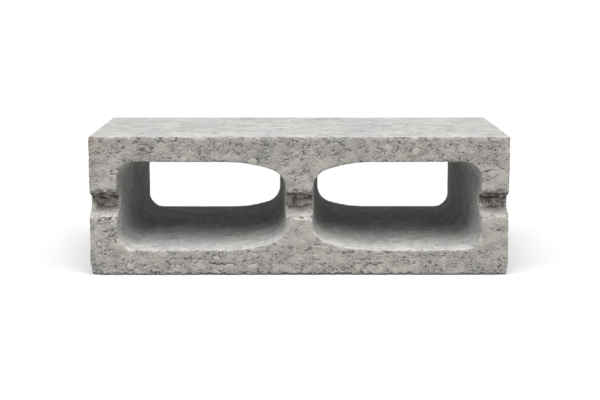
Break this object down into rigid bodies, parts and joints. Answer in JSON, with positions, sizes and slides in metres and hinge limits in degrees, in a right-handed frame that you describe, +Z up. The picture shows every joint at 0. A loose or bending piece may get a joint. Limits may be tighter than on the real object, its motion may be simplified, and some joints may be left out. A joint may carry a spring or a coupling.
{
  "type": "concrete block",
  "caption": "Hollow cast concrete masonry block lying on a face shell, with tapered rounded cores that flare towards the middle web and a groove across the webs.",
  "frame": {"origin": "centre of the face shell that the block lies on, at floor level", "axes": "+X along the block's length, +Y from the bed with the wide core mouths to the bed with the narrow ones, +Z up through the thickness"},
  "size_m": [0.45, 0.225, 0.15],
  "materials": {
    "concrete": "dry open-textured cast concrete, matt"
  },
  "bodies": {
    "root": {"hollow_block": "concrete"}
  },
  "joints": []
}
